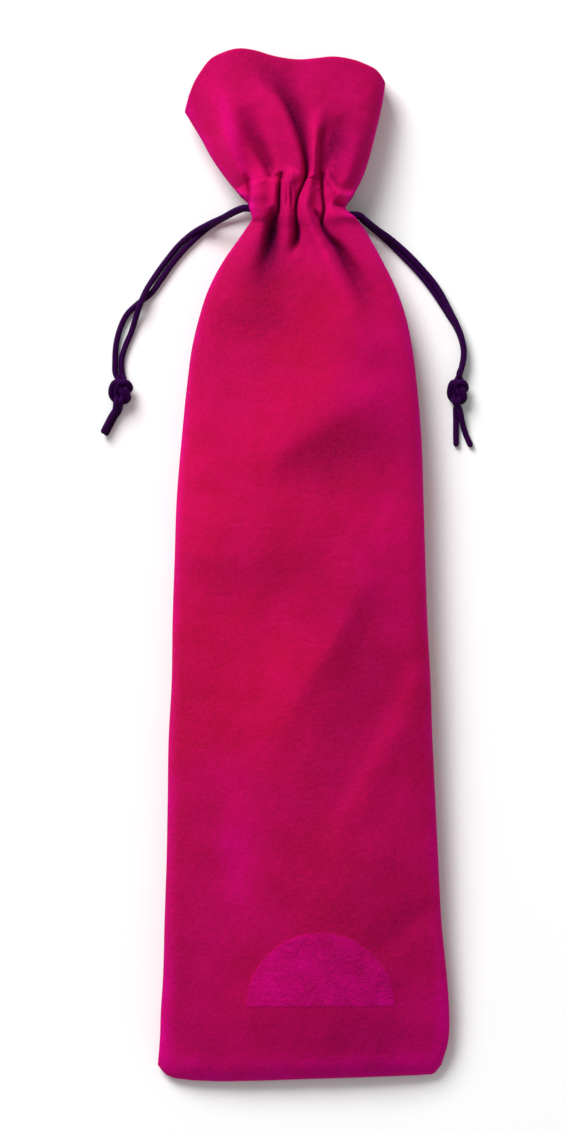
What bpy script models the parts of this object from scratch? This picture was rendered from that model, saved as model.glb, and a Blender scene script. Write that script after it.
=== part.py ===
"""Velvet wine gift bag with two drawstrings, lying on its back with its neck drawn in.

X runs across the bag, Y from the bottom seam to the mouth, and Z up from the table.
The origin is the middle of the bag's footprint, on the table. Sizes are in metres.
"""

import math

import bmesh
import bpy
from mathutils import Vector

MM = 0.001

# Cloth and cord
CLOTH = 1.5 * MM  # velvet with its pile
FACING = 1.2 * MM  # the turned-in top of a panel, pressed flat
CORD = 2.6 * MM  # drawstring diameter
THREAD = 0.5 * MM
GAP = 0.3 * MM  # between solids that touch on the real bag

# The bag's outline and section, in millimetres: place along Y, left edge, right edge,
# underside, height of the side seams, and top.
STATIONS = (
    (-229.4, -53.0, 44.0, 0.0, 2.3, 4.6),
    (-226.5, -62.6, 57.6, 0.0, 3.4, 8.0),
    (-219.5, -65.0, 61.6, 0.0, 4.6, 11.2),
    (-206.5, -64.4, 65.0, 0.0, 6.4, 15.5),
    (-171.5, -61.9, 62.3, 0.0, 8.8, 21.0),
    (-118.0, -60.5, 58.7, 0.0, 10.2, 25.0),
    (-50.0, -58.8, 56.0, 0.0, 11.2, 27.6),
    (20.0, -56.8, 53.3, 0.0, 11.6, 28.6),
    (70.0, -53.0, 50.6, 0.0, 11.4, 27.8),
    (100.0, -49.0, 47.4, 0.0, 11.0, 26.0),
    (122.2, -42.3, 40.9, 0.1, 10.6, 23.6),
    (138.0, -33.6, 32.9, 0.7, 10.4, 21.2),
    (150.0, -25.2, 25.6, 1.2, 10.3, 19.8),
    (158.0, -24.3, 19.2, 1.2, 10.3, 19.4),
    (167.0, -30.8, 23.4, 1.2, 10.3, 19.8),
    (180.0, -40.9, 28.9, 0.5, 10.4, 21.4),
    (197.8, -50.0, 33.4, 0.0, 10.6, 23.0),
    (216.5, -53.8, 36.0, 0.0, 10.8, 22.0),
)
BOTTOM = STATIONS[0][0] * MM
MOUTH = STATIONS[-1][0] * MM
ROUNDNESS = 2.4  # exponent of the section's superellipse
FLAT_SHARE = 1.15  # above 1, the underside has a flat band where it rests

# The wavy rim: share across the mouth, and how far the cloth rises past MOUTH, in millimetres
RIM = ((-1, -12.5), (-0.8, 5), (-0.5, 12.9), (0.05, 8), (0.5, 9.3), (0.85, 5), (1, 0))

# The channel for the cords, between two rows of stitching round the neck
LOWER_STITCH = 149.2 * MM
UPPER_STITCH = 168.0 * MM
WINDOW = (151.5 * MM, 154.0 * MM, 163.0 * MM, 165.5 * MM)  # side seams left open for cords
LEFT_CORD_Y = 158.0 * MM
RIGHT_CORD_Y = 155.0 * MM
PULL = 8.0 * MM  # how far each drawstring can still be pulled out
NECK_MIDDLE = 10.3 * MM
CORD_LAYER = CORD + 0.8 * MM  # room for a cord between panel and facing
PASSAGE_HALF = 3.0 * MM  # half the height of the way into the bag at the neck
CORD_RISE = PASSAGE_HALF + FACING + CORD_LAYER / 2  # cord's height above or below the middle
EXIT_CLEARANCE = 0.8 * MM

# Seam allowances inside the bag
ALLOWANCE_WIDTH = 7.0 * MM
ALLOWANCE_THICKNESS = 2.0 * MM
ALLOWANCE_INSET = CLOTH + 1.2 * MM
ALLOWANCE_ENDS = (-200.0 * MM, 135.0 * MM)  # along a side seam
BOTTOM_ALLOWANCE_ENDS = (-44.0 * MM, 36.0 * MM)
BOTTOM_ALLOWANCE_THICKNESS = 1.6 * MM
BOTTOM_ALLOWANCE_RISE = 3.4 * MM

STITCHING_ANGLES = (20.0, 160.0)  # how far round a panel a row of stitching runs, in degrees
STITCHING_STEPS = 14

LEFT_KNOT = (Vector((-0.0814, 0.0768, 0.0043)), Vector((0.0054, 0.0073, 0.0043)))
RIGHT_KNOT = (Vector((0.0684, 0.0768, 0.0041)), Vector((0.0042, 0.0064, 0.0041)))

# Where the five solids of a panel meet
BODY_START = -120.0 * MM
BODY_END = 50.0 * MM
SHOULDER_END = 150.0 * MM
CHANNEL_END = 167.0 * MM

COLUMNS = 18  # steps across a panel
FACING_COLUMNS = 14
FACING_BLEND = (4.0 * MM, 8.0 * MM)  # in which a facing steps in, below and above the cords
LOOP_CLEARANCE = 1.6 * MM  # between a facing and the turn of a pulled drawstring
EXIT_REACH = 1.0 * MM  # how far a cord's loop stands out of the side seam
STRAND_LEAD = 1.2 * MM  # straight start of a strand, at its exit


def smooth(points, at):
    """A smooth curve through (place, value...) points, read at one place."""
    places = [p[0] for p in points]
    at = min(max(at, places[0]), places[-1])
    i = max(k for k in range(len(points) - 1) if places[k] <= at)
    span = places[i + 1] - places[i]
    t = (at - places[i]) / span
    values = []
    for k in range(1, len(points[0])):
        slopes = []
        for j in (i, i + 1):
            before, after = max(j - 1, 0), min(j + 1, len(points) - 1)
            rise = points[after][k] - points[before][k]
            slopes.append(rise / (places[after] - places[before]) * span)
        a, b = points[i][k], points[i + 1][k]
        values.append(
            (2 * t**3 - 3 * t**2 + 1) * a
            + (t**3 - 2 * t**2 + t) * slopes[0]
            + (3 * t**2 - 2 * t**3) * b
            + (t**3 - t**2) * slopes[1]
        )
    return values


def ramp(low, high, at):
    """0 below low, 1 above high, and smooth between."""
    t = min(max((at - low) / (high - low), 0.0), 1.0)
    return t * t * (3 - 2 * t)


def section(y):
    """Left edge, right edge, underside, seam height and top of the bag at a place along Y."""
    return [value * MM for value in smooth(STATIONS, y / MM)]


def facing_section(y):
    """The same for the outside of the facings, which step in to make room for the cords."""
    left, right, under, seam, top = section(y)
    inset = CLOTH + GAP
    wide = (left + inset, right - inset, under + inset, seam, top - inset)
    stand = PASSAGE_HALF + FACING
    room = EXIT_CLEARANCE + CORD + PULL + LOOP_CLEARANCE
    at_left, at_right = section(LEFT_CORD_Y)[:2]
    narrow = (at_left + room, at_right - room, NECK_MIDDLE - stand, NECK_MIDDLE, NECK_MIDDLE + stand)
    below = 1 - ramp(WINDOW[1] - FACING_BLEND[0], WINDOW[1], y)
    share = max(below, ramp(WINDOW[2], WINDOW[2] + FACING_BLEND[1], y))
    return [a + (b - a) * share for a, b in zip(narrow, wide)]


def rim_lift(across, y):
    """How far the wavy rim carries a point of the ruffle past its place along Y."""
    share = min(max((y - UPPER_STITCH) / (MOUTH - UPPER_STITCH), 0.0), 1.0)
    return smooth(RIM, across)[0] * MM * share * share


def edge_height(y, seam, under, top, side, window):
    """Where a layer's side edges stop: at the seam, or at the roof of the cords' windows."""
    at_seam = seam + side * GAP / 2
    if not window:
        return at_seam
    open_share = ramp(WINDOW[0], WINDOW[1], y) * (1 - ramp(WINDOW[2], WINDOW[3], y))
    roof = top - CLOTH if side > 0 else under + CLOTH
    return at_seam + (roof - at_seam) * open_share


def layer_point(y, angle, side, inset, shape=section, window=True):
    """A point of a front (side 1) or back (side -1) layer, inset from its outer surface."""
    left, right, under, seam, top = shape(y)
    across = math.copysign(abs(math.cos(angle)) ** (2 / ROUNDNESS), math.cos(angle))
    rise = abs(math.sin(angle)) ** (2 / ROUNDNESS)
    edge = edge_height(y, seam, under, top, side, window)
    if side > 0:
        z = edge + (top - inset - edge) * rise
    else:
        z = edge - (edge - under - inset) * min(1.0, FLAT_SHARE * rise)
    x = (left + right) / 2 + ((right - left) / 2 - inset) * across
    return Vector((x, y + rim_lift(across, y), z))


def rows(*stretches):
    """Evenly spaced places: (from, to, steps) stretches laid end to end."""
    places = [stretches[0][0]]
    for start, stop, steps in stretches:
        places += [start + (stop - start) * k / steps for k in range(1, steps + 1)]
    return places


def material(name, colour, roughness):
    made = bpy.data.materials.new(name)
    made.use_nodes = True
    shader = made.node_tree.nodes["Principled BSDF"]
    shader.inputs["Base Color"].default_value = (*colour, 1)
    shader.inputs["Roughness"].default_value = roughness
    shader.inputs["Metallic"].default_value = 0
    return made


def add_object(name, data, finish, parent):
    made = bpy.data.objects.new(name, data)
    data.materials.append(finish)
    bpy.context.scene.collection.objects.link(made)
    made.parent = parent
    return made


def add_layer(name, places, columns, side, thick, finish, parent, closed_end=False, **shape):
    """A cloth layer as a closed solid: an outer and an inner skin joined round their edges."""
    mesh = bmesh.new()
    skins = []
    for inset in (0.0, thick):
        skin = []
        for y in places:
            row = []
            for column in range(columns + 1):
                point = layer_point(y, math.pi * column / columns, side, inset, **shape)
                if inset and closed_end and y == places[0]:
                    point.z = layer_point(y, 0.0, side, 0.0, **shape).z
                row.append(mesh.verts.new(point))
            skin.append(row)
        skins.append(skin)
    outer, inner = skins
    for skin in skins:
        for low, high in zip(skin, skin[1:]):
            for k in range(columns):
                mesh.faces.new((low[k], low[k + 1], high[k + 1], high[k]))
    for column in (0, columns):
        for k in range(len(places) - 1):
            mesh.faces.new(
                (outer[k][column], outer[k + 1][column], inner[k + 1][column], inner[k][column])
            )
    for row in (0, len(places) - 1):
        for k in range(columns):
            mesh.faces.new((outer[row][k], outer[row][k + 1], inner[row][k + 1], inner[row][k]))
    bmesh.ops.recalc_face_normals(mesh, faces=mesh.faces)
    data = bpy.data.meshes.new(name)
    mesh.to_mesh(data)
    mesh.free()
    data.shade_smooth()
    data.set_sharp_from_angle(angle=math.radians(40))
    return add_object(name, data, finish, parent)


def add_tube(name, points, diameter, finish, parent, sides=8):
    """A tube along points, with flat ends."""
    curve = bpy.data.curves.new(name, "CURVE")
    curve.dimensions = "3D"
    curve.bevel_depth = diameter / 2
    curve.bevel_resolution = (sides - 4) // 2
    curve.use_fill_caps = True
    spline = curve.splines.new("POLY")
    spline.points.add(len(points) - 1)
    for knot, point in zip(spline.points, points):
        knot.co = (*point, 1)
    return add_object(name, curve, finish, parent)


def add_strip(name, centres, half_width, half_height, finish, parent):
    """A flat strip with a rectangular section, whose width runs along each centre's second vector."""
    mesh = bmesh.new()
    rings = []
    for centre, across in centres:
        wide, high = across * half_width, Vector((0, 0, half_height))
        corners = (centre - wide - high, centre + wide - high, centre + wide + high, centre - wide + high)
        rings.append([mesh.verts.new(corner) for corner in corners])
    for low, high in zip(rings, rings[1:]):
        for k in range(4):
            mesh.faces.new((low[k], low[(k + 1) % 4], high[(k + 1) % 4], high[k]))
    mesh.faces.new(rings[0])
    mesh.faces.new(rings[-1])
    bmesh.ops.recalc_face_normals(mesh, faces=mesh.faces)
    data = bpy.data.meshes.new(name)
    mesh.to_mesh(data)
    mesh.free()
    return add_object(name, data, finish, parent)


def add_knot(name, centre, radii, finish, parent):
    """The outer shape of a tight knot in a doubled cord."""
    mesh = bmesh.new()
    bmesh.ops.create_uvsphere(mesh, u_segments=14, v_segments=9, radius=1)
    for vertex in mesh.verts:
        vertex.co = Vector(a * b for a, b in zip(vertex.co, radii))
    data = bpy.data.meshes.new(name)
    mesh.to_mesh(data)
    mesh.free()
    data.shade_smooth()
    knot = add_object(name, data, finish, parent)
    knot.location = centre
    return knot


def route(points, spacing=5.6 * MM):
    """A smooth route through points, in millimetres, read about every two cord diameters."""
    steps = 0.0
    measured = [(0.0, *points[0])]
    for before, after in zip(points, points[1:]):
        steps += (Vector(after) - Vector(before)).length
        measured.append((steps, *after))
    count = max(2, round(steps * MM / spacing))
    return [Vector(smooth(measured, steps * k / count)) * MM for k in range(count + 1)]


def add_panels(velvet, bag):
    """The front and back of the bag. Each is one cut of velvet, made here as five solids end to end."""
    half_gap = GAP / 2
    stretches = {
        "bottom": rows(
            (BOTTOM, BOTTOM + CLOTH, 1),
            (BOTTOM + CLOTH, -0.2125, 3),
            (-0.2125, -0.180, 3),
            (-0.180, BODY_START, 2),
        ),
        "body": rows((BODY_START, BODY_END, 5)),
        "shoulder": rows((BODY_END, 0.120, 4), (0.120, SHOULDER_END, 3)),
        "channel": rows(
            (SHOULDER_END, WINDOW[0], 1),
            (WINDOW[0], WINDOW[1], 2),
            (WINDOW[1], WINDOW[2], 2),
            (WINDOW[2], WINDOW[3], 2),
            (WINDOW[3], CHANNEL_END, 1),
        ),
        "ruffle": rows((CHANNEL_END, 0.190, 4), (0.190, MOUTH, 4)),
    }
    for name, places in stretches.items():
        if name != "bottom":
            places[0] += half_gap
        if name != "ruffle":
            places[-1] -= half_gap
        for panel, side in (("front", 1), ("back", -1)):
            sewn_shut = name == "bottom"
            add_layer(
                f"{panel}_panel_{name}", places, COLUMNS, side, CLOTH, velvet, bag, closed_end=sewn_shut
            )


def add_facings(velvet, bag):
    """The top of each panel, turned in at the rim and stitched down under the channel."""
    places = rows(
        (LOWER_STITCH, WINDOW[1], 3),
        (WINDOW[1], WINDOW[2], 2),
        (WINDOW[2], 0.172, 3),
        (0.172, 0.190, 2),
        (0.190, MOUTH, 3),
    )
    for name, side in (("front_facing", 1), ("back_facing", -1)):
        add_layer(
            name, places, FACING_COLUMNS, side, FACING, velvet, bag, shape=facing_section, window=False
        )


def add_allowances(velvet, thread, bag):
    """The sewn edges of the panels, turned in, and the overlock thread along each raw edge."""
    half = ALLOWANCE_WIDTH / 2
    for name, edge, inward in (("left", 0, 1), ("right", 1, -1)):
        middle, raw = [], []
        for y in rows((*ALLOWANCE_ENDS, 12)):
            bounds = section(y)
            x = bounds[edge] + inward * (ALLOWANCE_INSET + half)
            middle.append((Vector((x, y, bounds[3])), Vector((1, 0, 0))))
            raw.append(Vector((x + inward * (half + GAP + THREAD), y, bounds[3])))
        add_strip(f"{name}_seam_allowance", middle, half, ALLOWANCE_THICKNESS / 2, velvet, bag)
        add_tube(f"{name}_overlock_thread", raw, 2 * THREAD, thread, bag)
    y = BOTTOM + CLOTH + GAP + half
    across = Vector((0, 1, 0))
    along = [Vector((x, y, BOTTOM_ALLOWANCE_RISE)) for x in rows((*BOTTOM_ALLOWANCE_ENDS, 4))]
    strip = [(centre, across) for centre in along]
    add_strip("bottom_seam_allowance", strip, half, BOTTOM_ALLOWANCE_THICKNESS / 2, velvet, bag)
    raw = [centre + across * (half + GAP + THREAD) for centre in along]
    add_tube("bottom_overlock_thread", raw, 2 * THREAD, thread, bag)


def add_channel_stitching(thread, bag):
    """Two rows of stitching round the neck, which close the channel above and below the cords."""
    for panel, side in (("front", 1), ("back", -1)):
        for place, y in (("lower", LOWER_STITCH), ("upper", UPPER_STITCH)):
            points = []
            for degrees in rows((*STITCHING_ANGLES, STITCHING_STEPS)):
                angle = math.radians(degrees)
                points.append(layer_point(y, angle, side, -GAP - THREAD / 2, window=False))
            add_tube(f"{panel}_channel_{place}_stitching", points, THREAD, thread, bag)


def add_drawstring(side, finish, y, outward, exit_x, far_x, strands, knot, tails, bag):
    """One cord: through the channel and back, out at one side, knotted, with two tails."""
    cord = bpy.data.objects.new(f"{side}_drawstring", None)
    bpy.context.scene.collection.objects.link(cord)
    cord.parent = bag
    turn = far_x + outward * (CORD_RISE + CORD / 2 + EXIT_CLEARANCE)
    bend = [math.radians(180 * k / 10) for k in range(11)]
    loop = [Vector((exit_x, y, NECK_MIDDLE + CORD_RISE))]
    loop += [
        Vector((turn - outward * CORD_RISE * math.sin(a), y, NECK_MIDDLE + CORD_RISE * math.cos(a)))
        for a in bend
    ]
    loop += [Vector((exit_x, y, NECK_MIDDLE - CORD_RISE))]
    add_tube(f"{side}_cord_in_channel", loop, CORD, finish, cord)
    for place, height, points in zip(("front", "back"), (CORD_RISE, -CORD_RISE), strands):
        start = Vector((exit_x + outward * GAP, y, NECK_MIDDLE + height))
        onward = start + Vector((outward * STRAND_LEAD, 0, 0))
        bends = route([onward / MM, *points])
        add_tube(f"{side}_cord_{place}_strand", [start, *bends], CORD, finish, cord)
    add_knot(f"{side}_cord_knot", *knot, finish, cord)
    for place, points in zip(("front", "back"), tails):
        add_tube(f"{side}_cord_{place}_tail", route(points), CORD, finish, cord)


# Each strand's route over the table from its exit to its knot, in millimetres
LEFT_STRANDS = (
    (
        (-29.5, 157.1, 15.5), (-36, 153.9, 10.8), (-43, 150.9, 5.4), (-49.5, 147.3, 2.2),
        (-55.2, 142.4, 1.3), (-61.0, 135.4, 1.3), (-66.6, 127.6, 2.0), (-70.4, 121.2, 4.0),
        (-72.8, 115.6, 4.2), (-74.8, 109.6, 2.4), (-76.9, 103.0, 1.4), (-79.3, 97.4, 1.3),
        (-81.0, 91.6, 1.3), (-80.8, 84.6, 1.3),
    ),
    (
        (-29, 157.2, 4.0), (-35, 154.3, 2.6), (-41.2, 150.8, 1.6), (-47.2, 146.0, 1.3),
        (-52.8, 140.6, 1.3), (-58.6, 133.7, 1.3), (-63.8, 126.3, 1.3), (-68.2, 120.4, 1.3),
        (-73.6, 116.2, 1.3), (-78.7, 111.2, 1.3), (-81.8, 104.8, 1.3), (-83.6, 97.4, 1.3),
        (-84.0, 91.0, 1.3), (-83.7, 84.6, 1.3),
    ),
)
LEFT_TAILS = (
    ((-82.3, 68.4, 1.5), (-84.1, 65.6, 1.4), (-86.3, 61.6, 1.3), (-88.4, 57.4, 1.3)),
    ((-84.0, 68.6, 4.1), (-85.5, 66.2, 4.0), (-87.6, 62.2, 3.9), (-89.6, 58.2, 3.8)),
)
RIGHT_STRANDS = (
    (
        (27.6, 152.4, 13.4), (32.4, 148.8, 9.0), (37.7, 145.3, 5.2), (43.0, 141.0, 3.2),
        (48.1, 136.2, 2.8), (53.1, 130.8, 2.7), (58.0, 124.9, 2.7), (62.1, 118.3, 3.3),
        (65.3, 111.8, 4.1), (68.1, 106.2, 4.3), (70.1, 100.6, 4.3), (71.1, 94.6, 4.3),
        (70.4, 88.6, 4.3), (68.9, 83.9, 4.3),
    ),
    (
        (27.4, 151.9, 3.6), (32.0, 148.2, 2.2), (36.7, 144.1, 1.4), (41.4, 139.5, 1.3),
        (46.3, 134.6, 1.3), (51.3, 129.2, 1.3), (56.0, 123.4, 1.3), (60.3, 117.2, 1.3),
        (64.4, 110.8, 1.3), (67.6, 105.8, 1.3), (69.8, 100.6, 1.3), (71.0, 94.6, 1.3),
        (70.2, 88.2, 1.3), (68.9, 83.7, 1.3),
    ),
)
RIGHT_TAILS = (
    ((67.6, 69.8, 1.4), (67.6, 64.0, 1.3), (67.6, 57.6, 1.3), (67.7, 52.4, 1.3)),
    ((68.9, 69.6, 4.0), (70.2, 64.0, 2.8), (71.9, 58.0, 1.3), (74.5, 52.2, 1.3)),
)


def build():
    for old in list(bpy.data.objects):
        bpy.data.objects.remove(old)
    velvet = material("crimson_velvet", (0.55, 0.006, 0.08), 0.85)
    cord = material("aubergine_cord", (0.02, 0.002, 0.03), 0.55)
    thread = material("crimson_thread", (0.40, 0.006, 0.07), 0.6)
    bag = bpy.data.objects.new("bag", None)
    bpy.context.scene.collection.objects.link(bag)
    add_panels(velvet, bag)
    add_facings(velvet, bag)
    add_allowances(velvet, thread, bag)
    add_channel_stitching(thread, bag)
    left_exit, left_turn = section(LEFT_CORD_Y)[:2]
    right_turn, right_exit = section(RIGHT_CORD_Y)[:2]
    left_ends = (left_exit - EXIT_REACH, left_turn, LEFT_STRANDS, LEFT_KNOT, LEFT_TAILS)
    add_drawstring("left", cord, LEFT_CORD_Y, -1, *left_ends, bag)
    right_ends = (right_exit + EXIT_REACH, right_turn, RIGHT_STRANDS, RIGHT_KNOT, RIGHT_TAILS)
    add_drawstring("right", cord, RIGHT_CORD_Y, 1, *right_ends, bag)


build()
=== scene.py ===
import math

import bpy
import numpy as np
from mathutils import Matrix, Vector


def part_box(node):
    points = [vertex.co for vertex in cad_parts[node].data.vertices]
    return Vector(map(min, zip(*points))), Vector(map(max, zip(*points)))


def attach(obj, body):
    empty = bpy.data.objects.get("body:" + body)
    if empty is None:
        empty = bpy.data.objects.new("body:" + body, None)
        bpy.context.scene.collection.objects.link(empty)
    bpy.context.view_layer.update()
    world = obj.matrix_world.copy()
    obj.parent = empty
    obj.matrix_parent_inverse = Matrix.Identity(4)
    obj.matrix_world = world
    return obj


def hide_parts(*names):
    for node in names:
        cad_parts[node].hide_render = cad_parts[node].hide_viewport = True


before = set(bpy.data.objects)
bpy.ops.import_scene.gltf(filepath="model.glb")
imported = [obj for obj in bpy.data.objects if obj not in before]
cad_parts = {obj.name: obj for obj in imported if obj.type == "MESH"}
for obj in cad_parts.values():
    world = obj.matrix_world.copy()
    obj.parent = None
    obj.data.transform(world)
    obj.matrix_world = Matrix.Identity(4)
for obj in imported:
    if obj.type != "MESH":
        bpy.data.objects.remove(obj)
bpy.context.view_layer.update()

# ------------------------------------------------------------
# The camera looks straight down on the bag, which lies on its back with its mouth at the top
# of the view. It stands far off, so near and far parts come out at almost the same scale.

camera_distance = 3.0
view_middle = (-0.0091, -0.0011)
view_length = 0.5046  # metres of table from the bottom to the top of the view

camera_data = bpy.data.cameras.new("camera")
camera_data.sensor_width = 36
camera_data.lens = camera_data.sensor_width * camera_distance / view_length
camera = bpy.data.objects.new("camera", camera_data)
camera.location = (*view_middle, camera_distance)
bpy.context.scene.collection.objects.link(camera)
bpy.context.scene.camera = camera

# ------------------------------------------------------------
# Drawstrings: two round braided cords, almost black with a purple cast. Each is a loop through
# the channel at the neck, and its two ends come out together at one side. An overhand knot in
# the doubled cord joins them and leaves two short tails, whose cut ends are sealed.

cord_diameter = 0.0026
cord_sides = 20
cord_step, loop_step = 0.5, 0.8  # millimetres between the rings of a cord's mesh
lead_out = 1.5  # millimetres that a cord goes straight on where it leaves the channel
bend_steps = 12


def sign(operation, swapped=False):
    """What a sign does between a flow and another flow or a number, whichever comes first."""

    def act(flow, other):
        terms = (other, flow) if swapped else (flow, other)
        return flow.math(operation, *terms)

    return act


class Flow:
    """A socket of a node tree that takes part in sums. Each sum adds its Math node."""

    def __init__(self, tree, socket):
        self.tree = tree
        self.socket = socket

    def math(self, operation, *terms, clamp=False):
        made = self.tree.nodes.new("ShaderNodeMath")
        made.operation = operation
        made.use_clamp = clamp
        for slot, term in zip(made.inputs, terms):
            if isinstance(term, Flow):
                self.tree.links.new(term.socket, slot)
            else:
                slot.default_value = term
        return Flow(self.tree, made.outputs[0])

    __add__, __radd__ = sign("ADD"), sign("ADD", swapped=True)
    __sub__, __rsub__ = sign("SUBTRACT"), sign("SUBTRACT", swapped=True)
    __mul__, __truediv__ = sign("MULTIPLY"), sign("DIVIDE")

    def wave(self):
        return self.math("SINE", self)

    def size(self):
        return self.math("ABSOLUTE", self)

    def root(self):
        return self.math("SQRT", self)

    def between(self, start, full):
        """0 at start and 1 at full, and no further."""
        risen = self - start
        return risen.math("DIVIDE", risen, full - start, clamp=True)


class Finish:
    """A material under construction: its nodes, and its Principled shader's sockets."""

    def __init__(self, name):
        self.material = bpy.data.materials.new(name)
        self.material.use_nodes = True
        self.tree = self.material.node_tree
        self.shader = self.tree.nodes["Principled BSDF"]

    def fill(self, slots, values):
        for name, value in values.items():
            slot = next(s for s in slots if s.enabled and s.name == name.replace("_", " "))
            if isinstance(value, Flow):
                self.tree.links.new(value.socket, slot)
            else:
                slot.default_value = value

    def node(self, kind, settings, output=None, **values):
        """Adds a node: its settings first, then its sockets by name, each a value or a link."""
        made = self.tree.nodes.new(kind)
        for name, value in settings.items():
            setattr(made, name, value)
        self.fill(made.inputs, values)
        outputs = [o for o in made.outputs if o.enabled and output in (None, o.name)]
        return Flow(self.tree, outputs[0])

    def parts(self, vector):
        """The three numbers of a vector."""
        made = self.node("ShaderNodeSeparateXYZ", {}, Vector=vector).socket.node
        return [Flow(self.tree, output) for output in made.outputs]

    def noise(self, **values):
        return self.node("ShaderNodeTexNoise", {}, "Fac", **values)

    def mix(self, share, low, high):
        return self.node("ShaderNodeMix", {"data_type": "RGBA"}, Factor=share, A=low, B=high)

    def bump(self, height, distance, strength):
        return self.node("ShaderNodeBump", {}, Strength=strength, Distance=distance, Height=height)

    def set(self, **values):
        self.fill(self.shader.inputs, values)


def read_smooth(places, values, at):
    """A smooth curve through values at rising places, read at many places."""
    slopes = np.gradient(values, places, axis=0)
    at = np.clip(at, places[0], places[-1])
    k = np.clip(np.searchsorted(places, at, side="right") - 1, 0, len(places) - 2)
    span = (places[k + 1] - places[k]).reshape(-1, 1)
    t = (at - places[k]).reshape(-1, 1) / span
    return (
        (2 * t**3 - 3 * t**2 + 1) * values[k]
        + (t**3 - 2 * t**2 + t) * slopes[k] * span
        + (3 * t**2 - 2 * t**3) * values[k + 1]
        + (t**3 - t**2) * slopes[k + 1] * span
    )


def smooth_line(points, step, measured=3):
    """A smooth curve through points, read at even steps, and each point's number along it.

    Only the first measured numbers of a point are its place: the others are carried along."""
    points = np.array(points, float)
    spans = np.linalg.norm(np.diff(points[:, :measured], axis=0), axis=1)
    places = np.concatenate([[0], np.cumsum(spans)])
    at = np.linspace(0, places[-1], round(places[-1] / step) + 2)
    return read_smooth(places, points, at), np.searchsorted(at, places - 1e-9)


def tube_mesh(line, radius, sides, rounded_end):
    """Points, faces and corner UVs of a closed tube along a line, in metres."""
    ahead = np.gradient(line, axis=0)
    ahead /= np.linalg.norm(ahead, axis=1)[:, None]
    turned = np.cross(ahead[0], (0.3, 0.2, 1))  # any direction but the cord's own
    normals = []
    for direction in ahead:
        turned = turned - direction * (turned @ direction)
        turned = turned / np.linalg.norm(turned)
        normals.append(turned)
    normals = np.array(normals)[:, None]
    sideways = np.cross(ahead, normals[:, 0])[:, None]
    along = np.concatenate([[0], np.cumsum(np.linalg.norm(np.diff(line, axis=0), axis=1))])
    size = np.full(len(line), radius)
    if rounded_end:
        inside = np.clip(1 - (along[-1] - along) / radius, 0, 0.93)
        size = radius * np.sqrt(1 - inside**2)
    angle = (2 * math.pi * np.arange(sides) / sides)[None, :, None]
    ring = np.cos(angle) * normals + np.sin(angle) * sideways
    points = (line[:, None] + ring * size[:, None, None]).reshape(-1, 3)
    first, last = len(points), len(points) + 1
    points = np.concatenate([points, line[:1], line[-1:]])
    faces, corners = [], []
    for k in range(sides):
        after = (k + 1) % sides
        around = (k / sides, (k + 1) / sides)
        for row in range(len(line) - 1):
            a, b = row * sides, (row + 1) * sides
            faces.append((a + k, b + k, b + after, a + after))
            near, far = along[row], along[row + 1]
            corners += [(around[0], near), (around[0], far), (around[1], far), (around[1], near)]
        end = (len(line) - 1) * sides
        faces += [(k, after, first), (end + after, end + k, last)]
        corners += [(around[0], 0)] * 3 + [(around[0], along[-1])] * 3
    return points, faces, corners


def add_object(name, data):
    made = bpy.data.objects.new(name, data)
    bpy.context.scene.collection.objects.link(made)
    return made


def mesh_piece(name, points, faces, finish, corners=()):
    """A piece whose place is in its mesh, in metres, shaded smooth."""
    data = bpy.data.meshes.new(name)
    data.from_pydata(points, [], faces)
    data.shade_smooth()
    data.materials.append(finish)
    if len(corners):
        layer = data.uv_layers.new(name="surface")
        layer.data.foreach_set("uv", np.array(corners, np.float32).ravel())
    return add_object(name, data)


def add_piece(piece, body, slot, *nodes):
    """The piece moves with its body and stands for CAD nodes, which it hides. The slot is not used."""
    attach(piece, body)
    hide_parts(*nodes)
    return piece


def add_cord(name, lines, body, rounded_end=False):
    """One piece of drawstring, made of one length or more, each along a line in metres."""
    points, faces, corners = [], [], []
    for line in lines:
        tube = tube_mesh(line, cord_diameter / 2, cord_sides, rounded_end)
        start = sum(len(p) for p in points)
        points.append(tube[0])
        faces += [tuple(start + k for k in face) for face in tube[1]]
        corners += tube[2]
    piece = mesh_piece(f"braided_{name}", np.concatenate(points), faces, aubergine_braid, corners)
    return add_piece(piece, body, "aubergine_cord", name)


# Fine round braid: two sets of yarns that cross on the slant, with a soft satin gloss.
braid = Finish("aubergine_braid")
yarns_around, yarns_along = 8, 900  # yarns round the cord, and per metre along it
around, along, _ = braid.parts(braid.node("ShaderNodeUVMap", {"uv_map": "surface"}))
one_way = (around * (2 * math.pi * yarns_around) + along * (2 * math.pi * yarns_along)).wave()
other_way = (around * (2 * math.pi * yarns_around) - along * (2 * math.pi * yarns_along)).wave()
yarns = one_way * other_way * 0.5 + 0.5
fuzz = braid.noise(Scale=2600.0, Detail=2.0)
braid.set(
    # Lighter on the yarns and darker between them: painted highlight and painted shade of the braid's
    # relief, with random tone from the fuzz
    Base_Color=braid.mix(yarns * 0.7 + fuzz * 0.3, (0.010, 0.0001, 0.018, 1), (0.034, 0.0004, 0.058, 1)),
    Roughness=fuzz * 0.2 + 0.5,
    Normal=braid.bump(yarns + fuzz * 0.6, 0.00015, 0.5),
    Specular_IOR_Level=0.04,
    Sheen_Weight=0.03,
    Sheen_Tint=(0.5, 0.05, 0.65, 1),
    Sheen_Roughness=0.4,
)
aubergine_braid = braid.material

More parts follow.
